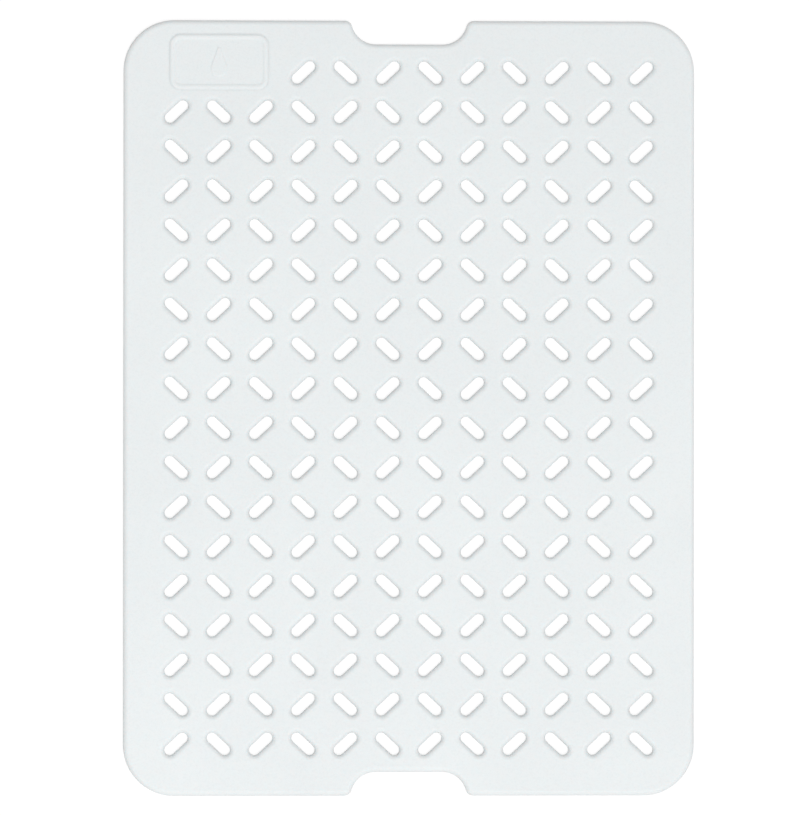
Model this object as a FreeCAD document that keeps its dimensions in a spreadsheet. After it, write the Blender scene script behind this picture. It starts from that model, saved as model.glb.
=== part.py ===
import FreeCAD, Part

import math
import os

import Sketcher

# A perforated drain plate: one flat moulding of natural polyethylene that lies in a food tub and keeps what
# is put on it clear of the liquid below. It has rounded corners, a rounded rim, and a finger notch in the
# middle of each short end for lifting it out. Its short slots lie along the diagonals of a lattice, rising
# and falling by turns. Three slots are left out of one corner, where a low badge with a drop on it stands.
#
# Millimetres. X runs across the plate, Y along it, Z up; the origin is the middle of the underside.

PARTS_FOLDER = "parts"

# name, value in millimetres or a count, what it is
DRIVING_DIMENSIONS = [
    ("plate_width", 342.9, "across the short ends"),
    ("plate_length", 465.1, "between the short ends"),
    ("plate_thickness", 5.0, "flat to flat"),
    ("corner_radius", 30.5, "of the four corners in plan"),
    ("top_round", 3.0, "radius of every edge of the top face"),
    ("underside_round", 1.0, "radius of every edge of the underside"),
    ("notch_floor", 40.0, "straight part of a finger notch"),
    ("notch_depth", 14.2, "from the short end to the notch's floor"),
    ("notch_radius", 15.0, "from the floor up each side of the notch"),
    ("notch_lip", 4.5, "radius where the notch meets the short end"),
    ("slot_width", 6.3, "between a slot's straight sides"),
    ("slot_length", 16.8, "over a slot's round ends"),
    ("pitch_across", 25.4, "from slot to slot across the plate"),
    ("pitch_along", 23.7, "from slot to slot along the plate"),
    ("slot_columns", 12, "slots across the plate"),
    ("slot_rows", 18, "slots along the plate"),
    ("badge_columns", 3, "slots of the last row that the badge stands in for"),
    ("badge_width", 60.0, "of the badge, across the plate"),
    ("badge_depth", 34.0, "of the badge, along the plate"),
    ("badge_corner", 7.0, "radius of the badge's corners"),
    ("badge_inset", 25.0, "from the short end to the badge's middle line"),
    ("badge_field", 0.25, "height of the badge's field"),
    ("badge_relief", 0.6, "height of the badge's rim and drop"),
    ("badge_rim", 4.0, "width of the badge's rim"),
    ("badge_round", 0.25, "radius of the rim's and the drop's top edges"),
    ("drop_radius", 5.4, "of the drop's round foot"),
    ("drop_tip", 1.3, "radius of the drop's tip"),
    ("drop_height", 13.2, "from the middle of the round foot to the top of the tip"),
]


def make_sheet(doc):
    """The spreadsheet that every sketch and feature reads its sizes from."""
    sheet = doc.addObject("Spreadsheet::Sheet", "dimensions")
    for row, (alias, value, meaning) in enumerate(DRIVING_DIMENSIONS, start=1):
        sheet.set(f"A{row}", alias)
        sheet.set(f"B{row}", str(value))
        sheet.set(f"C{row}", meaning)
        sheet.setAlias(f"B{row}", alias)
    doc.recompute()
    return sheet


def cell(alias):
    """A cell of the sheet as it is written in an expression."""
    return f"<<dimensions>>.{alias}"


# Expressions that several features share.
FIRST_COLUMN_X = f"-({cell('slot_columns')} - 1) / 2 * {cell('pitch_across')}"
FIRST_ROW_Y = f"-({cell('slot_rows')} - 1) / 2 * {cell('pitch_along')}"
SLANT = f"atan({cell('pitch_along')} / {cell('pitch_across')})"


def value(alias):
    """A driving dimension as a number, for first guesses and for finding edges."""
    return next(number for name, number, _ in DRIVING_DIMENSIONS if name == alias)


def new_body(doc, label):
    body = doc.addObject("PartDesign::Body", label)
    body.Label = label
    return body


def origin_feature(body, role):
    return next(f for f in body.Origin.OriginFeatures if f.Role == role)


def new_sketch(body, name, height=None):
    """A sketch on the body's XY plane, or on that plane raised by an expression."""
    sketch = body.newObject("Sketcher::SketchObject", name)
    sketch.AttachmentSupport = [(origin_feature(body, "XY_Plane"), "")]
    sketch.MapMode = "FlatFace"
    if height:
        sketch.setExpression("AttachmentOffset.Base.z", height)
    return sketch


def bind(sketch, constraint, expression):
    """Adds a dimensional constraint and binds it to an expression."""
    index = sketch.addConstraint(constraint)
    sketch.renameConstraint(index, f"size_{index}")
    sketch.setExpression(f"Constraints.size_{index}", expression)
    return index


def line(sketch, start, end, construction=False):
    segment = Part.LineSegment(FreeCAD.Vector(*start, 0), FreeCAD.Vector(*end, 0))
    return sketch.addGeometry(segment, construction)


def arc(sketch, centre, radius, start_deg, end_deg):
    circle = Part.Circle(FreeCAD.Vector(*centre, 0), FreeCAD.Vector(0, 0, 1), radius)
    part_of_circle = Part.ArcOfCircle(circle, math.radians(start_deg), math.radians(end_deg))
    return sketch.addGeometry(part_of_circle, False)


START, END, CENTRE = 1, 2, 3
ORIGIN = (-1, 1)


def rounded_rectangle(sketch, width, depth, radius, middle=None, shrink=0.0):
    """A rounded rectangle about a middle point.

    width, depth and radius are aliases. shrink is an expression for how far it lies inside them.
    """
    shrink_by = value("badge_rim") if shrink else 0.0
    half_w = value(width) / 2 - shrink_by
    half_d = value(depth) / 2 - shrink_by
    r = value(radius) - shrink_by
    cx, cy = middle_guess(middle)
    east, west, north, south = cx + half_w, cx - half_w, cy + half_d, cy - half_d
    bottom = line(sketch, (west + r, south), (east - r, south))
    right = line(sketch, (east, south + r), (east, north - r))
    top = line(sketch, (east - r, north), (west + r, north))
    left = line(sketch, (west, north - r), (west, south + r))
    corners = [
        arc(sketch, (east - r, south + r), r, 270, 360),
        arc(sketch, (east - r, north - r), r, 0, 90),
        arc(sketch, (west + r, north - r), r, 90, 180),
        arc(sketch, (west + r, south + r), r, 180, 270),
    ]
    sides = [bottom, right, top, left]
    for side, corner, following in zip(sides, corners, sides[1:] + sides[:1]):
        sketch.addConstraint(Sketcher.Constraint("Tangent", side, END, corner, START))
        sketch.addConstraint(Sketcher.Constraint("Tangent", corner, END, following, START))
    for other in corners[1:]:
        sketch.addConstraint(Sketcher.Constraint("Equal", corners[0], other))
    sketch.addConstraint(Sketcher.Constraint("Horizontal", bottom))
    sketch.addConstraint(Sketcher.Constraint("Vertical", right))
    sketch.addConstraint(Sketcher.Constraint("Horizontal", top))
    sketch.addConstraint(Sketcher.Constraint("Vertical", left))
    less = f" - {shrink}" if shrink else ""
    less_twice = f" - 2 * {shrink}" if shrink else ""
    bind(sketch, Sketcher.Constraint("Radius", corners[0], r), f"{cell(radius)}{less}")
    across = Sketcher.Constraint("DistanceX", left, START, right, END, 2 * half_w)
    bind(sketch, across, f"{cell(width)}{less_twice}")
    along = Sketcher.Constraint("DistanceY", bottom, START, top, START, 2 * half_d)
    bind(sketch, along, f"{cell(depth)}{less_twice}")
    if middle is None:
        sketch.addConstraint(Sketcher.Constraint("Symmetric", bottom, START, top, START, *ORIGIN))
    else:
        point = middle_point(sketch, middle)
        sketch.addConstraint(Sketcher.Constraint("Symmetric", bottom, START, top, START, point, START))


def middle_guess(middle):
    """Where a middle point lies, from the driving dimensions."""
    if middle is None:
        return 0.0, 0.0
    return middle["x"][0], middle["y"][0]


def middle_point(sketch, middle):
    """A point whose place is bound to expressions. middle maps x and y to (first guess, expression)."""
    x, y = middle_guess(middle)
    point = sketch.addGeometry(Part.Point(FreeCAD.Vector(x, y, 0)), True)
    bind(sketch, Sketcher.Constraint("DistanceX", *ORIGIN, point, START, x), middle["x"][1])
    bind(sketch, Sketcher.Constraint("DistanceY", *ORIGIN, point, START, y), middle["y"][1])
    return point


def slot_middle(column, row):
    """The middle of a slot of the lattice. Columns and rows count from the corner at -X -Y."""
    x = (column - (value("slot_columns") - 1) / 2) * value("pitch_across")
    y = (row - (value("slot_rows") - 1) / 2) * value("pitch_along")
    return x, y


def stadium(sketch, column, row):
    """One slot of the lattice. It lies along the diagonal of its cell, rising and falling by turns."""
    x, y = slot_middle(column, row)
    rising = (column + row) % 2 == 0
    slant = math.atan2(value("pitch_along"), value("pitch_across"))
    angle = slant if rising else -slant
    radius = value("slot_width") / 2
    reach = (value("slot_length") - value("slot_width")) / 2
    along = (math.cos(angle), math.sin(angle))
    aside = (-along[1], along[0])

    def at(forward, sideways):
        return (
            x + along[0] * forward + aside[0] * sideways,
            y + along[1] * forward + aside[1] * sideways,
        )

    turn = math.degrees(angle)
    lower = line(sketch, at(-reach, -radius), at(reach, -radius))
    far_end = arc(sketch, at(reach, 0), radius, turn - 90, turn + 90)
    upper = line(sketch, at(reach, radius), at(-reach, radius))
    near_end = arc(sketch, at(-reach, 0), radius, turn + 90, turn + 270)
    spine = line(sketch, at(-reach, 0), at(reach, 0), construction=True)
    loop = [lower, far_end, upper, near_end]
    for one, following in zip(loop, loop[1:] + loop[:1]):
        sketch.addConstraint(Sketcher.Constraint("Tangent", one, END, following, START))
    sketch.addConstraint(Sketcher.Constraint("Equal", far_end, near_end))
    sketch.addConstraint(Sketcher.Constraint("Coincident", near_end, CENTRE, spine, START))
    sketch.addConstraint(Sketcher.Constraint("Coincident", far_end, CENTRE, spine, END))
    bind(sketch, Sketcher.Constraint("Radius", far_end, radius), f"{cell('slot_width')} / 2")
    spacing = Sketcher.Constraint("Distance", spine, 2 * reach)
    bind(sketch, spacing, f"{cell('slot_length')} - {cell('slot_width')}")
    tilt = Sketcher.Constraint("Angle", spine, angle)
    bind(sketch, tilt, SLANT if rising else f"-{SLANT}")
    point = middle_point(
        sketch,
        {
            "x": (x, f"{FIRST_COLUMN_X} + {column} * {cell('pitch_across')}"),
            "y": (y, f"{FIRST_ROW_Y} + {row} * {cell('pitch_along')}"),
        },
    )
    sketch.addConstraint(Sketcher.Constraint("Symmetric", spine, START, spine, END, point, START))


def cut_through(body, sketch, name):
    """A pocket that goes from the underside up through the plate."""
    pocket = body.newObject("PartDesign::Pocket", name)
    pocket.Profile = sketch
    pocket.Type = "ThroughAll"
    pocket.Reversed = True
    return pocket


def level_edges(shape, height):
    """The names and the middles of the edges that lie level at a height."""
    found = []
    for number, edge in enumerate(shape.Edges, start=1):
        box = edge.BoundBox
        if box.ZLength < 1e-6 and abs(box.ZMin - height) < 1e-6:
            found.append((f"Edge{number}", edge.CenterOfMass))
    return found


def rim_edges(shape, height, slots):
    """The names of the edges that some slots have at a height."""
    middles = [slot_middle(column, row) for column, row in slots]
    reach = value("slot_length") / 2
    found = []
    for name, centre in level_edges(shape, height):
        if any(math.hypot(centre.x - x, centre.y - y) < reach for x, y in middles):
            found.append(name)
    return found


def rounded_slots(doc, body, name, slots):
    """Some slots, as (column, row), cut through and rounded at both faces."""
    sketch = new_sketch(body, f"{name}_outline")
    for column, row in slots:
        stadium(sketch, column, row)
    pocket = cut_through(body, sketch, f"{name}_cut")
    doc.recompute()
    top = rim_edges(pocket.Shape, value("plate_thickness"), slots)
    rounded_top = round_edges(body, pocket, f"{name}_top_rims", top, "top_round")
    doc.recompute()
    under = rim_edges(rounded_top.Shape, 0.0, slots)
    rounded = round_edges(body, rounded_top, f"{name}_underside_rims", under, "underside_round")
    rounded_top.SupportTransform = True
    rounded.SupportTransform = True
    doc.recompute()
    return rounded


def repeat_slots(doc, body, slots, name, columns, rows=None):
    """Repeats rounded slots every two columns and every two rows. The counts are expressions."""
    pattern = body.newObject("PartDesign::LinearPattern", name)
    pattern.Originals = [slots]
    pattern.Direction = (origin_feature(body, "X_Axis"), [""])
    pattern.Mode = "Extent"
    pattern.setExpression("Length", f"2 * {cell('pitch_across')} * ({columns} - 1)")
    pattern.setExpression("Occurrences", columns)
    if rows:
        pattern.Direction2 = (origin_feature(body, "Y_Axis"), [""])
        pattern.Mode2 = "Extent"
        pattern.setExpression("Length2", f"2 * {cell('pitch_along')} * ({rows} - 1)")
        pattern.setExpression("Occurrences2", rows)
    body.Tip = pattern
    doc.recompute()


def finger_notch(body):
    """The pocket for the finger notch at +Y: a straight floor, and a concave arc up each side."""
    sketch = new_sketch(body, "notch_outline")
    half_floor = value("notch_floor") / 2
    r = value("notch_radius")
    edge = value("plate_length") / 2
    floor_y = edge - value("notch_depth")
    above = edge + 2 * r
    side = half_floor + r
    floor = line(sketch, (-half_floor, floor_y), (half_floor, floor_y))
    right_arc = arc(sketch, (half_floor, floor_y + r), r, 270, 360)
    right = line(sketch, (side, floor_y + r), (side, above))
    top = line(sketch, (side, above), (-side, above))
    left = line(sketch, (-side, above), (-side, floor_y + r))
    left_arc = arc(sketch, (-half_floor, floor_y + r), r, 180, 270)
    for one, following in ((floor, right_arc), (right_arc, right), (left, left_arc), (left_arc, floor)):
        sketch.addConstraint(Sketcher.Constraint("Tangent", one, END, following, START))
    sketch.addConstraint(Sketcher.Constraint("Coincident", right, END, top, START))
    sketch.addConstraint(Sketcher.Constraint("Coincident", top, END, left, START))
    sketch.addConstraint(Sketcher.Constraint("Horizontal", floor))
    sketch.addConstraint(Sketcher.Constraint("Vertical", right))
    sketch.addConstraint(Sketcher.Constraint("Horizontal", top))
    sketch.addConstraint(Sketcher.Constraint("Vertical", left))
    sketch.addConstraint(Sketcher.Constraint("Equal", right_arc, left_arc))
    bind(sketch, Sketcher.Constraint("Radius", right_arc, r), cell("notch_radius"))
    across = Sketcher.Constraint("DistanceX", floor, START, floor, END, 2 * half_floor)
    bind(sketch, across, cell("notch_floor"))
    sideways = Sketcher.Constraint("DistanceX", *ORIGIN, floor, END, half_floor)
    bind(sketch, sideways, f"{cell('notch_floor')} / 2")
    height = Sketcher.Constraint("DistanceY", *ORIGIN, floor, END, floor_y)
    bind(sketch, height, f"{cell('plate_length')} / 2 - {cell('notch_depth')}")
    beyond = Sketcher.Constraint("DistanceY", *ORIGIN, top, START, above)
    bind(sketch, beyond, f"{cell('plate_length')} / 2 + 2 * {cell('notch_radius')}")
    return cut_through(body, sketch, "notch_cut")


def both_ends(body, pocket):
    """The same notch at the other short end."""
    mirrored = body.newObject("PartDesign::Mirrored", "notch_at_both_ends")
    mirrored.Originals = [pocket]
    mirrored.MirrorPlane = (origin_feature(body, "XZ_Plane"), [""])
    body.Tip = mirrored
    return mirrored


def round_edges(body, base, name, names_of_edges, radius):
    fillet = body.newObject("PartDesign::Fillet", name)
    fillet.Base = (base, names_of_edges)
    fillet.setExpression("Radius", cell(radius))
    return fillet


def lip_edges(shape):
    """The upright edges where a notch meets a short end."""
    found = []
    for number, edge in enumerate(shape.Edges, start=1):
        box = edge.BoundBox
        upright = box.XLength < 1e-6 and box.YLength < 1e-6
        at_end = abs(abs(box.YMin) - value("plate_length") / 2) < 1e-3
        near_notch = abs(box.XMin) < value("notch_floor") / 2 + value("notch_radius") + 1.0
        if upright and at_end and near_notch:
            found.append(f"Edge{number}")
    return found


def flat_face(shape, height):
    """The name of the largest level face at a height."""
    level = [
        (face.Area, number)
        for number, face in enumerate(shape.Faces, start=1)
        if face.BoundBox.ZLength < 1e-6 and abs(face.BoundBox.ZMin - height) < 1e-6
    ]
    return f"Face{max(level)[1]}"


def build_plate(doc):
    """The moulding: a rounded blank with its two notches, and then the slots."""
    body = new_body(doc, "slotted_plate")
    outline = new_sketch(body, "plate_outline")
    rounded_rectangle(outline, "plate_width", "plate_length", "corner_radius")
    blank = body.newObject("PartDesign::Pad", "plate_blank")
    blank.Profile = outline
    blank.setExpression("Length", cell("plate_thickness"))
    both_ends(body, finger_notch(body))
    doc.recompute()
    round_edges(body, body.Tip, "notch_lips", lip_edges(body.Tip.Shape), "notch_lip")
    doc.recompute()
    top = flat_face(body.Tip.Shape, value("plate_thickness"))
    rounded_top = round_edges(body, body.Tip, "top_outer_edges", [top], "top_round")
    doc.recompute()
    under = flat_face(rounded_top.Shape, 0.0)
    round_edges(body, rounded_top, "underside_outer_edges", [under], "underside_round")
    doc.recompute()

    # The last row is short, because the badge stands where its first slots would be.
    last = int(value("slot_rows")) - 1
    first = int(value("badge_columns"))
    short_row = f"({cell('slot_columns')} - {cell('badge_columns')})"
    one = rounded_slots(doc, body, "last_row_first", [(first, last)])
    repeat_slots(doc, body, one, "last_row_odd_slots", f"ceil({short_row} / 2)")
    two = rounded_slots(doc, body, "last_row_second", [(first + 1, last)])
    repeat_slots(doc, body, two, "last_row_even_slots", f"floor({short_row} / 2)")

    # The full rows go in twos. The row left over when their number is odd is the one next to the short row.
    pairs = f"{cell('slot_columns')} / 2"
    full_rows = f"({cell('slot_rows')} - 1)"
    next_to_last = rounded_slots(doc, body, "next_to_last_row", [(0, last - 1), (1, last - 1)])
    repeat_slots(doc, body, next_to_last, "next_to_last_row_slots", pairs)
    four = rounded_slots(doc, body, "four_slots", [(0, 0), (1, 0), (0, 1), (1, 1)])
    repeat_slots(doc, body, four, "slot_lattice", pairs, f"floor({full_rows} / 2)")
    return body


def drop_outline(sketch, middle):
    """A water drop: a round foot and a small round tip, joined by two straight sides that touch both."""
    cx, cy = middle_guess(middle)
    r = value("drop_radius")
    tip_r = value("drop_tip")
    between = value("drop_height") - tip_r
    lean = math.asin((r - tip_r) / between)
    turn = math.degrees(lean)
    foot_touch = (r * math.cos(lean), r * math.sin(lean))
    tip_touch = (tip_r * math.cos(lean), tip_r * math.sin(lean))
    foot = arc(sketch, (cx, cy), r, 180 - turn, 360 + turn)
    tip = arc(sketch, (cx, cy + between), tip_r, turn, 180 - turn)
    right = line(
        sketch,
        (cx + foot_touch[0], cy + foot_touch[1]),
        (cx + tip_touch[0], cy + between + tip_touch[1]),
    )
    left = line(
        sketch,
        (cx - tip_touch[0], cy + between + tip_touch[1]),
        (cx - foot_touch[0], cy + foot_touch[1]),
    )
    for one, following in ((foot, right), (right, tip), (tip, left), (left, foot)):
        sketch.addConstraint(Sketcher.Constraint("Tangent", one, END, following, START))
    bind(sketch, Sketcher.Constraint("Radius", foot, r), cell("drop_radius"))
    bind(sketch, Sketcher.Constraint("Radius", tip, tip_r), cell("drop_tip"))
    point = middle_point(sketch, middle)
    sketch.addConstraint(Sketcher.Constraint("Coincident", foot, CENTRE, point, START))
    sketch.addConstraint(Sketcher.Constraint("Vertical", foot, CENTRE, tip, CENTRE))
    rise = Sketcher.Constraint("DistanceY", foot, CENTRE, tip, CENTRE, between)
    bind(sketch, rise, f"{cell('drop_height')} - {cell('drop_tip')}")


def pad_on(body, sketch, name, length):
    pad = body.newObject("PartDesign::Pad", name)
    pad.Profile = sketch
    pad.setExpression("Length", length)
    return pad


def build_badge(doc):
    """The badge: a low field with a raised rim round it and a raised drop in it."""
    body = new_body(doc, "drain_badge")
    columns_middle = (value("badge_columns") - 1) / 2 - (value("slot_columns") - 1) / 2
    x = columns_middle * value("pitch_across")
    y = value("plate_length") / 2 - value("badge_inset")
    x_expression = f"{FIRST_COLUMN_X} + ({cell('badge_columns')} - 1) / 2 * {cell('pitch_across')}"
    y_expression = f"{cell('plate_length')} / 2 - {cell('badge_inset')}"
    middle = {"x": (x, x_expression), "y": (y, y_expression)}
    top_of_plate = cell("plate_thickness")

    field = new_sketch(body, "badge_field_outline", top_of_plate)
    rounded_rectangle(field, "badge_width", "badge_depth", "badge_corner", middle)
    pad_on(body, field, "badge_field_pad", cell("badge_field"))

    rim = new_sketch(body, "badge_rim_outline", top_of_plate)
    rounded_rectangle(rim, "badge_width", "badge_depth", "badge_corner", middle)
    rounded_rectangle(rim, "badge_width", "badge_depth", "badge_corner", middle, shrink=cell("badge_rim"))
    pad_on(body, rim, "badge_rim_pad", cell("badge_relief"))

    # The drop's bounding height is its foot's radius below the middle and the tip's height above it.
    lower = (value("drop_height") - value("drop_radius")) / 2
    lower_expression = f"({cell('drop_height')} - {cell('drop_radius')}) / 2"
    drop_middle = {"x": middle["x"], "y": (y - lower, f"{y_expression} - {lower_expression}")}
    drop = new_sketch(body, "badge_drop_outline", top_of_plate)
    drop_outline(drop, drop_middle)
    drop_pad = pad_on(body, drop, "badge_drop_pad", cell("badge_relief"))
    doc.recompute()
    tops = level_edges(drop_pad.Shape, value("plate_thickness") + value("badge_relief"))
    round_edges(body, drop_pad, "badge_top_edges", [name for name, _ in tops], "badge_round")
    doc.recompute()
    return body


def check_document(doc):
    """Stops on anything that failed to build, because a recompute doesn't raise."""
    for item in doc.Objects:
        if "Invalid" in item.State or "Error" in item.State:
            raise RuntimeError(f"{item.Name} failed: {item.State}")


def check_slots(body):
    """Stops if the top face hasn't every slot, because a pattern that falls short is still a valid shape."""
    top = body.Shape.getElement(flat_face(body.Shape, value("plate_thickness")))
    expected = value("slot_columns") * value("slot_rows") - value("badge_columns")
    found = len(top.Wires) - 1
    if found != expected:
        raise RuntimeError(f"{body.Label} has {found} slots, not {expected}")


def write_parts(bodies):
    os.makedirs(PARTS_FOLDER, exist_ok=True)
    for body in bodies:
        shape = body.Shape
        if shape.isNull() or not shape.isValid():
            raise RuntimeError(f"{body.Label} has no valid shape")
        shape.exportStep(os.path.join(PARTS_FOLDER, f"{body.Label}.step"))
        box = shape.optimalBoundingBox(False)
        size = f"{box.XLength:.2f} x {box.YLength:.2f} x {box.ZLength:.2f}"
        print(f"{body.Label}: {len(shape.Solids)} solid, {size} mm, {shape.Volume:.0f} mm3")


def main():
    doc = FreeCAD.newDocument("drain_plate")
    make_sheet(doc)
    plate = build_plate(doc)
    badge = build_badge(doc)
    check_document(doc)
    check_slots(plate)
    write_parts([plate, badge])


main()
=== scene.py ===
import math

import bpy
from mathutils import Euler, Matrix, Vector
from mathutils.geometry import delaunay_2d_cdt


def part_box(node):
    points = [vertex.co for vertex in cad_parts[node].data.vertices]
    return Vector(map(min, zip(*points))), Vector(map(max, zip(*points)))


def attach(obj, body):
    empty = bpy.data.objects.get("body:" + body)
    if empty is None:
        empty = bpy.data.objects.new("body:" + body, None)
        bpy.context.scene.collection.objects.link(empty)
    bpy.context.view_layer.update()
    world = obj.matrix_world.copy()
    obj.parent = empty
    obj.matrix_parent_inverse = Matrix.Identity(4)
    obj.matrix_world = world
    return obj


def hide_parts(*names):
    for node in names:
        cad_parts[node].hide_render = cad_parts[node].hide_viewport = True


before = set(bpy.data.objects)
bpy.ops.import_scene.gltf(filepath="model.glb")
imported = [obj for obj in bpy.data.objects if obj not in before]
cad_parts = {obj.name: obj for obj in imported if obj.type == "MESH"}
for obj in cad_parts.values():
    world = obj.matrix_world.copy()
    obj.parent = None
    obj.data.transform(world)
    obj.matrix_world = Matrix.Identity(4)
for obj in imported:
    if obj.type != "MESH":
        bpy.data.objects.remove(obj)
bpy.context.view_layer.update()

# The drain plate's looks: the moulding as one clean mesh with every rim rounded, the badge as soft
# relief on it, a procedural polyethylene, and a plain white table under a large softbox and a small
# one. Everything is in metres.

MM = 0.001

# --------------------------------------------------------------------------------------------------
# The plate's shape, as the CAD part has it
# --------------------------------------------------------------------------------------------------

HALF_WIDTH, HALF_LENGTH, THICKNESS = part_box("slotted_plate")[1]
CORNER_RADIUS = 30.5 * MM
TOP_ROUND = 3.0 * MM
UNDERSIDE_ROUND = 1.0 * MM
NOTCH_HALF_FLOOR = 20.0 * MM
NOTCH_DEPTH = 14.2 * MM
NOTCH_RADIUS = 15.0 * MM
NOTCH_LIP = 4.5 * MM
SLOT_RADIUS = 3.15 * MM
SLOT_REACH = 5.25 * MM
PITCH_ACROSS = 25.4 * MM
PITCH_ALONG = 23.7 * MM
SLOT_COLUMNS = 12
SLOT_ROWS = 18
BADGE_COLUMNS = 3

# How finely the mesh follows it: steps round each arc, and the longest piece of a straight edge.
SLOT_END_STEPS = 12
TOP_ROUND_STEPS = 7
UNDERSIDE_ROUND_STEPS = 3
CORNER_STEPS = 20
NOTCH_STEPS = 12
LIP_STEPS = 8
LONGEST_EDGE = 12.0 * MM
LONGEST_NOTCH_EDGE = 7.0 * MM

# Points closer than this are one point when a flat face is triangulated.
MERGE_DISTANCE = 1e-7


def arc_points(centre, radius, start_deg, end_deg, steps):
    """Points on an arc, with the unit vector from its centre to each."""
    for step in range(steps + 1):
        angle = math.radians(start_deg + (end_deg - start_deg) * step / steps)
        away = Vector((math.cos(angle), math.sin(angle)))
        yield Vector(centre) + away * radius, away


def line_points(start, end, longest):
    """The points between two ends, without the ends, no further apart than longest."""
    start, end = Vector(start), Vector(end)
    pieces = max(1, math.ceil((end - start).length / longest))
    for piece in range(1, pieces):
        yield start.lerp(end, piece / pieces)


def outline_quarter():
    """A quarter of the outline, counterclockwise from the +X side to the +Y end, without its ends.

    Yields each point and the unit vector from it into the plate.
    """
    corner = (HALF_WIDTH - CORNER_RADIUS, HALF_LENGTH - CORNER_RADIUS)
    for point in line_points((HALF_WIDTH, 0.0), (HALF_WIDTH, corner[1]), LONGEST_EDGE):
        yield point, Vector((-1, 0))
    for point, away in arc_points(corner, CORNER_RADIUS, 0, 90, CORNER_STEPS):
        yield point, -away

    notch_floor = HALF_LENGTH - NOTCH_DEPTH
    notch_centre = Vector((NOTCH_HALF_FLOOR, notch_floor + NOTCH_RADIUS))
    lip_y = HALF_LENGTH - NOTCH_LIP
    between = NOTCH_RADIUS + NOTCH_LIP
    lip_x = notch_centre.x + math.sqrt(between**2 - (notch_centre.y - lip_y) ** 2)
    lip_centre = Vector((lip_x, lip_y))
    for point in line_points((corner[0], HALF_LENGTH), (lip_x, HALF_LENGTH), LONGEST_EDGE):
        yield point, Vector((0, -1))

    # The lip turns left from the end's line until it meets the notch's arc, which then turns the
    # other way.
    to_lip = lip_centre - notch_centre
    meet_deg = math.degrees(math.atan2(to_lip.y, to_lip.x))
    for point, away in arc_points(lip_centre, NOTCH_LIP, 90, 180 + meet_deg, LIP_STEPS):
        yield point, -away
    notch_arc = list(arc_points(notch_centre, NOTCH_RADIUS, meet_deg, -90, NOTCH_STEPS))
    for point, away in notch_arc[1:]:
        yield point, away
    floor_end = (NOTCH_HALF_FLOOR, notch_floor)
    for point in line_points(floor_end, (0.0, notch_floor), LONGEST_NOTCH_EDGE):
        yield point, Vector((0, -1))


def outline_loop():
    """The whole outline, counterclockwise, as (point, unit vector into the plate)."""
    quarter = list(outline_quarter())
    middle_of_side = (Vector((HALF_WIDTH, 0.0)), Vector((-1, 0)))
    middle_of_end = (Vector((0.0, HALF_LENGTH - NOTCH_DEPTH)), Vector((0, -1)))
    half = [middle_of_side] + quarter + [middle_of_end]
    for point, inward in reversed(quarter):
        half.append((Vector((-point.x, point.y)), Vector((-inward.x, inward.y))))
    return half + [(-point, -inward) for point, inward in half]


def slot_places():
    """Every slot's column, row and middle. Columns and rows count from the corner at -X -Y."""
    for row in range(SLOT_ROWS):
        for column in range(SLOT_COLUMNS):
            if row == SLOT_ROWS - 1 and column < BADGE_COLUMNS:
                continue
            x = (column - (SLOT_COLUMNS - 1) / 2) * PITCH_ACROSS
            y = (row - (SLOT_ROWS - 1) / 2) * PITCH_ALONG
            yield column, row, Vector((x, y))


def slot_spine(column, row, middle):
    """The two centres of a slot's round ends."""
    slant = math.atan2(PITCH_ALONG, PITCH_ACROSS)
    if (column + row) % 2:
        slant = -slant
    reach = Vector((math.cos(slant), math.sin(slant))) * SLOT_REACH
    return middle - reach, middle + reach


def slot_loop(column, row, middle):
    """A slot's outline, clockwise, as (point, unit vector into the plate)."""
    near, far = slot_spine(column, row, middle)
    turn = math.degrees(math.atan2((far - near).y, (far - near).x))
    loop = list(arc_points(far, SLOT_RADIUS, turn + 90, turn - 90, SLOT_END_STEPS))
    side = loop[-1][1]
    loop.append((middle + side * SLOT_RADIUS, side))
    loop += list(arc_points(near, SLOT_RADIUS, turn - 90, turn - 270, SLOT_END_STEPS))
    side = loop[-1][1]
    loop.append((middle + side * SLOT_RADIUS, side))
    return loop


def edge_profile():
    """The edge from the top face down: (inset, height, share of the normal outward, share up)."""
    profile = []
    for step in range(TOP_ROUND_STEPS + 1):
        angle = math.radians(90 * step / TOP_ROUND_STEPS)
        inset = TOP_ROUND * (1 - math.sin(angle))
        height = THICKNESS - TOP_ROUND * (1 - math.cos(angle))
        profile.append((inset, height, math.sin(angle), math.cos(angle)))
    for step in range(UNDERSIDE_ROUND_STEPS + 1):
        angle = math.radians(90 * step / UNDERSIDE_ROUND_STEPS)
        inset = UNDERSIDE_ROUND * (1 - math.cos(angle))
        height = UNDERSIDE_ROUND * (1 - math.sin(angle))
        profile.append((inset, height, math.cos(angle), -math.sin(angle)))
    return profile


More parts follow.
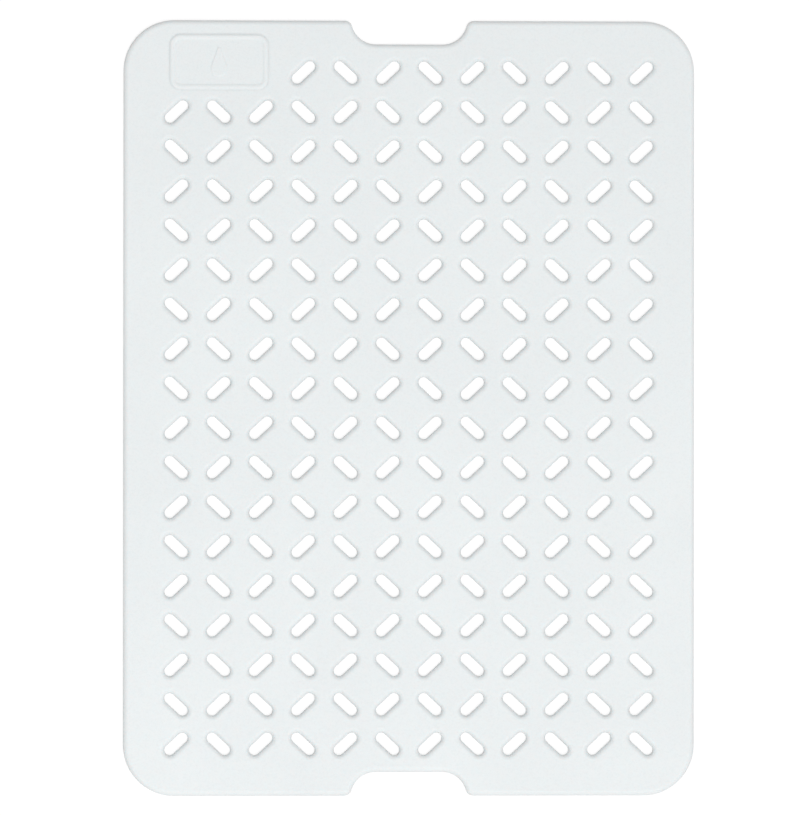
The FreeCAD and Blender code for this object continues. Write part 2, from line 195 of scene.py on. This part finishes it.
class MeshMaker:
    """Collects vertices, their normals and faces, and makes an object of them."""

    def __init__(self):
        self.vertices = []
        self.normals = []
        self.faces = []

    def vertex(self, point, height, normal):
        self.vertices.append((point.x, point.y, height))
        self.normals.append(tuple(normal))
        return len(self.vertices) - 1

    def rings(self, loop, profile):
        """One ring of vertices round a loop for each step of a profile, in the profile's order.

        A step is (inset, height, share of the normal outward, share of it up).
        """
        rings = []
        for inset, height, outward, up in profile:
            ring = []
            for point, inward in loop:
                normal = Vector((-inward.x * outward, -inward.y * outward, up)).normalized()
                ring.append(self.vertex(point + inward * inset, height, normal))
            rings.append(ring)
        return rings

    def band(self, upper, lower):
        """Quads between two closed rings, where the lower ring lies on the outside."""
        count = len(upper)
        for i in range(count):
            j = (i + 1) % count
            self.faces.append((upper[i], lower[i], lower[j], upper[j]))

    def flat(self, outer, holes, height, up, extra=()):
        """Triangles over a level region, between an outer ring and the rings of convex holes in it.

        extra are more points of the region. up says which way it faces.
        """
        points, owners, edges, ring_of = [], [], [], []
        for number, ring in enumerate([outer] + holes):
            start = len(points)
            count = len(ring)
            points += [Vector(self.vertices[i][:2]) for i in ring]
            owners += ring
            ring_of += [number] * count
            edges += [(start + i, start + (i + 1) % count) for i in range(count)]
        for number, point in enumerate(extra):
            points.append(point)
            owners.append(self.vertex(point, height, (0, 0, 1 if up else -1)))
            ring_of.append(-1 - number)
        _, _, triangles, origins, _, _ = delaunay_2d_cdt(points, edges, [], 1, MERGE_DISTANCE)
        for triangle in triangles:
            inputs = [origins[i][0] for i in triangle]
            rings = {ring_of[i] for i in inputs}
            fills_hole = len(rings) == 1 and rings.pop() > 0
            if not fills_hole:
                corners = [owners[i] for i in inputs]
                self.faces.append(tuple(corners if up else reversed(corners)))

    def make(self, name):
        mesh = bpy.data.meshes.new(name)
        mesh.from_pydata(self.vertices, [], self.faces)
        mesh.polygons.foreach_set("use_smooth", [True] * len(mesh.polygons))
        mesh.update()
        mesh.normals_split_custom_set_from_vertices(self.normals)
        made = bpy.data.objects.new(name, mesh)
        bpy.context.scene.collection.objects.link(made)
        return made


def make_plate():
    """The moulding: its own and every slot's edge as rings down one profile, and the two faces."""
    maker = MeshMaker()
    profile = edge_profile()
    loops = [outline_loop()] + [slot_loop(*place) for place in slot_places()]
    top_rings, bottom_rings = [], []
    for loop in loops:
        rings = maker.rings(loop, profile)
        for upper, lower in zip(rings, rings[1:]):
            maker.band(upper, lower)
        top_rings.append(rings[0])
        bottom_rings.append(rings[-1])

    between_slots = []
    for row in range(SLOT_ROWS + 1):
        for column in range(SLOT_COLUMNS + 1):
            x = (column - SLOT_COLUMNS / 2) * PITCH_ACROSS
            y = (row - SLOT_ROWS / 2) * PITCH_ALONG
            between_slots.append(Vector((x, y)))
    maker.flat(top_rings[0], top_rings[1:], THICKNESS, True, between_slots)
    maker.flat(bottom_rings[0], bottom_rings[1:], 0.0, False, between_slots)
    return maker.make("plate_moulding")


# --------------------------------------------------------------------------------------------------
# The badge
# --------------------------------------------------------------------------------------------------

BADGE_LOW, BADGE_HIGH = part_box("drain_badge")
BADGE_MIDDLE = (BADGE_LOW + BADGE_HIGH) / 2
BADGE_TOP = BADGE_HIGH.z
FIELD_TOP = THICKNESS + 0.25 * MM
BADGE_CORNER = 7.0 * MM
BADGE_RIM = 4.0 * MM
BADGE_SINK = 1.5 * MM
RIM_SLOPE = 1.6 * MM
DROP_RADIUS = 5.4 * MM
DROP_TIP = 1.3 * MM
DROP_HEIGHT = 13.2 * MM
DROP_SLOPE = 1.2 * MM

BADGE_CORNER_STEPS = 12
RIM_SLOPE_STEPS = 8
DROP_STEPS = 30
DROP_TIP_STEPS = 10
DROP_SLOPE_STEPS = 6


def badge_loop():
    """The badge's outline, counterclockwise, as (point, unit vector into it)."""
    low, high, radius = BADGE_LOW.xy, BADGE_HIGH.xy, BADGE_CORNER
    loop = []
    corners = (
        ((high.x - radius, low.y + radius), 270),
        ((high.x - radius, high.y - radius), 0),
        ((low.x + radius, high.y - radius), 90),
        ((low.x + radius, low.y + radius), 180),
    )
    for centre, start in corners:
        for point, away in arc_points(centre, radius, start, start + 90, BADGE_CORNER_STEPS):
            loop.append((point, -away))
    return loop


def drop_loop():
    """A water drop with a rounded tip, counterclockwise, as (point, unit vector into it)."""
    middle = Vector((BADGE_MIDDLE.x, BADGE_MIDDLE.y - (DROP_HEIGHT - DROP_RADIUS) / 2))
    tip_centre = middle + Vector((0, DROP_HEIGHT - DROP_TIP))
    lean = math.degrees(math.asin((DROP_RADIUS - DROP_TIP) / (tip_centre - middle).length))
    loop = []
    for point, away in arc_points(tip_centre, DROP_TIP, lean, 180 - lean, DROP_TIP_STEPS):
        loop.append((point, -away))
    for point, away in arc_points(middle, DROP_RADIUS, 180 - lean, 360 + lean, DROP_STEPS):
        loop.append((point, -away))
    return loop


def rise(low, high, width, steps):
    """A soft step up from one level to another over a width, as a profile from its foot."""
    profile = []
    for step in range(steps + 1):
        share = step / steps
        eased = share * share * (3 - 2 * share)
        height = low + (high - low) * eased
        slope = 6 * share * (1 - share) * (high - low) / width
        length = math.hypot(slope, 1)
        profile.append((width * share, height, slope / length, 1 / length))
    return profile


def make_badge():
    """A low field with a soft raised rim and drop, closed underneath just inside the plate."""
    maker = MeshMaker()
    foot = THICKNESS - BADGE_SINK
    outer_slope = rise(THICKNESS, BADGE_TOP, RIM_SLOPE, RIM_SLOPE_STEPS)
    inner_slope = [
        (BADGE_RIM - inset, height, -outward, up)
        for inset, height, outward, up in rise(FIELD_TOP, BADGE_TOP, RIM_SLOPE, RIM_SLOPE_STEPS)
    ]
    rim_profile = [(0.0, foot, 1.0, 0.0)] + outer_slope + inner_slope[::-1]
    rim = maker.rings(badge_loop(), rim_profile)
    for lower, upper in zip(rim, rim[1:]):
        maker.band(upper, lower)

    drop_profile = rise(FIELD_TOP, BADGE_TOP, DROP_SLOPE, DROP_SLOPE_STEPS)
    drop = maker.rings(drop_loop(), drop_profile)
    for lower, upper in zip(drop, drop[1:]):
        maker.band(upper, lower)

    maker.flat(rim[-1], [drop[0]], FIELD_TOP, True)
    maker.flat(drop[-1], [], BADGE_TOP, True)
    maker.flat(rim[0], [], foot, False)
    return maker.make("badge_relief")


# --------------------------------------------------------------------------------------------------
# Materials
# --------------------------------------------------------------------------------------------------


class Nodes:
    """Short calls for building a node tree."""

    def __init__(self, material):
        material.use_nodes = True
        self.tree = material.node_tree
        self.tree.nodes.clear()

    def add(self, kind, values=None, **properties):
        node = self.tree.nodes.new(kind)
        for name, value in properties.items():
            setattr(node, name, value)
        for name, value in (values or {}).items():
            node.inputs[name].default_value = value
        return node

    def join(self, source, output, target, socket):
        self.tree.links.new(source.outputs[output], target.inputs[socket])


def polyethylene(name):
    """Natural polyethylene as moulded: milky, a little cool, finely grained and faintly clouded.

    Its patterns follow the object's own coordinates, so they run on from the plate into the badge.
    """
    material = bpy.data.materials.new(name)
    nodes = Nodes(material)
    out = nodes.add("ShaderNodeOutputMaterial")
    shader = nodes.add(
        "ShaderNodeBsdfPrincipled",
        {
            "IOR": 1.5,
            "Specular IOR Level": 0.25,
            "Subsurface Weight": 0.35,
            "Subsurface Radius": (1.2, 1.0, 0.95),
            "Subsurface Scale": 1.2 * MM,
        },
    )
    nodes.join(shader, "BSDF", out, "Surface")
    place = nodes.add("ShaderNodeTexCoord")

    def noise(scale, detail, roughness=0.5):
        values = {"Scale": scale, "Detail": detail, "Roughness": roughness}
        made = nodes.add("ShaderNodeTexNoise", values)
        nodes.join(place, "Object", made, "Vector")
        return made

    def ramp(source, low, high, at=(0.3, 0.7)):
        made = nodes.add("ShaderNodeValToRGB")
        made.color_ramp.elements[0].position = at[0]
        made.color_ramp.elements[0].color = (*low, 1)
        made.color_ramp.elements[1].position = at[1]
        made.color_ramp.elements[1].color = (*high, 1)
        nodes.join(source, "Fac", made, "Fac")
        return made

    # Colour: slow clouding where the melt cooled at different rates, and fine specks on top of it.
    clouds = ramp(noise(9.0, 3.0), (0.799, 0.838, 0.848), (0.821, 0.862, 0.871))
    specks = ramp(noise(900.0, 2.0), (0.96, 0.963, 0.965), (1.0, 1.0, 1.0), (0.25, 0.55))
    colour = nodes.add("ShaderNodeMix", {"Factor": 1.0}, data_type="RGBA", blend_type="MULTIPLY")
    first_colour, second_colour, mixed_colour = 6, 7, 2
    nodes.join(clouds, "Color", colour, first_colour)
    nodes.join(specks, "Color", colour, second_colour)
    nodes.join(colour, mixed_colour, shader, "Base Color")

    # Roughness: an even satin, a little glossier in patches that have been wiped.
    wiped = ramp(noise(22.0, 4.0, 0.6), (0.40,) * 3, (0.52,) * 3)
    nodes.join(wiped, "Color", shader, "Roughness")

    # Relief: the mould's fine grain over a very slight waviness.
    grain = nodes.add("ShaderNodeBump", {"Strength": 0.25, "Distance": 0.06 * MM})
    nodes.join(noise(1400.0, 3.0, 0.6), "Fac", grain, "Height")
    wave = nodes.add("ShaderNodeBump", {"Strength": 0.3, "Distance": 0.25 * MM})
    nodes.join(noise(45.0, 2.0), "Fac", wave, "Height")
    nodes.join(grain, "Normal", wave, "Normal")
    nodes.join(wave, "Normal", shader, "Normal")
    return material


def seen_or_lit(nodes, seen, lit, out):
    """Shows one shader to the camera, and lets every other ray meet another."""
    path = nodes.add("ShaderNodeLightPath")
    choice = nodes.add("ShaderNodeMixShader")
    nodes.join(path, "Is Camera Ray", choice, "Fac")
    nodes.join(lit, 0, choice, 1)
    nodes.join(seen, 0, choice, 2)
    nodes.join(choice, 0, out, "Surface")


def table_white(name):
    """A matte white table that is seen as plain white, with a faint shadow under the plate."""
    material = bpy.data.materials.new(name)
    nodes = Nodes(material)
    out = nodes.add("ShaderNodeOutputMaterial")
    glow = nodes.add("ShaderNodeEmission", {"Color": (1, 1, 1, 1), "Strength": 0.81})
    shaded = nodes.add("ShaderNodeBsdfDiffuse", {"Color": (0.23, 0.23, 0.23, 1)})
    seen = nodes.add("ShaderNodeAddShader")
    nodes.join(glow, 0, seen, 0)
    nodes.join(shaded, 0, seen, 1)
    matte = nodes.add("ShaderNodeBsdfDiffuse", {"Color": (0.8, 0.785, 0.778, 1)})
    seen_or_lit(nodes, seen, matte, out)
    return material


# --------------------------------------------------------------------------------------------------
# The scene
# --------------------------------------------------------------------------------------------------

FLOOR_REACH = 6.0
FLOOR_DROP = 0.3 * MM

CAMERA_LOCATION = (-0.26037, -0.02858, 5.43877)
CAMERA_TURNS_DEG = (0.300, -2.717, 0.043)
CAMERA_LENS_MM = 400.0
CAMERA_SENSOR_MM = 36.0
CAMERA_CLIP = (0.05, 50.0)


def make_floor():
    """A level white table, a hair below the plate so that the two faces don't share a plane."""
    maker = MeshMaker()
    corners = []
    for x, y in ((-1, -1), (1, -1), (1, 1), (-1, 1)):
        corner = Vector((x, y)) * FLOOR_REACH
        corners.append(maker.vertex(corner, -FLOOR_DROP, (0, 0, 1)))
    maker.faces.append(tuple(corners))
    floor = maker.make("white_table")
    floor.data.materials.append(table_white("table_white"))


def make_world():
    """An evenly lit, slightly warm room, seen as plain white."""
    world = bpy.data.worlds.new("studio")
    bpy.context.scene.world = world
    nodes = Nodes(world)
    out = nodes.add("ShaderNodeOutputWorld")
    lit = nodes.add("ShaderNodeBackground", {"Color": (1.0, 0.98, 0.972, 1), "Strength": 0.49})
    seen = nodes.add("ShaderNodeBackground", {"Color": (1, 1, 1, 1), "Strength": 1.0})
    seen_or_lit(nodes, seen, lit, out)


def make_softbox(name, distance, azimuth_deg, elevation_deg, size, power):
    """A square lamp that faces the plate. The azimuth counts from +X towards +Y."""
    lamp = bpy.data.lights.new(name, "AREA")
    lamp.shape = "SQUARE"
    lamp.size = size
    lamp.energy = power
    holder = bpy.data.objects.new(name, lamp)
    bpy.context.scene.collection.objects.link(holder)
    azimuth, elevation = math.radians(azimuth_deg), math.radians(elevation_deg)
    level = math.cos(elevation)
    away = Vector((math.cos(azimuth) * level, math.sin(azimuth) * level, math.sin(elevation)))
    holder.location = away * distance
    holder.rotation_mode = "QUATERNION"
    holder.rotation_quaternion = away.to_track_quat("Z", "Y")


def make_camera():
    """High above the plate, with a long lens, and off to one side by less than three degrees."""
    camera = bpy.data.cameras.new("camera")
    camera.lens = CAMERA_LENS_MM
    camera.sensor_width = CAMERA_SENSOR_MM
    camera.clip_start, camera.clip_end = CAMERA_CLIP
    holder = bpy.data.objects.new("camera", camera)
    bpy.context.scene.collection.objects.link(holder)
    holder.location = CAMERA_LOCATION
    holder.rotation_euler = Euler([math.radians(turn) for turn in CAMERA_TURNS_DEG], "XYZ")
    bpy.context.scene.camera = holder


plate = make_plate()
plate.data.materials.append(polyethylene("natural_polyethylene"))
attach(plate, "root")
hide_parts("slotted_plate")

badge = make_badge()
badge.data.materials.append(polyethylene("natural_polyethylene_badge"))
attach(badge, "root")
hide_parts("drain_badge")

make_floor()
make_world()
# The key is far enough away to light every rim alike. The fill is near, so its light falls off a
# little from the corner at -X -Y to the one across from it.
make_softbox(
    "key_softbox", distance=14.0, azimuth_deg=-51.0, elevation_deg=71.1, size=7.8, power=934.0
)
make_softbox(
    "fill_softbox", distance=1.6, azimuth_deg=-120.0, elevation_deg=60.0, size=0.9, power=3.76
)
make_camera()
bpy.context.scene.view_settings.view_transform = "Standard"
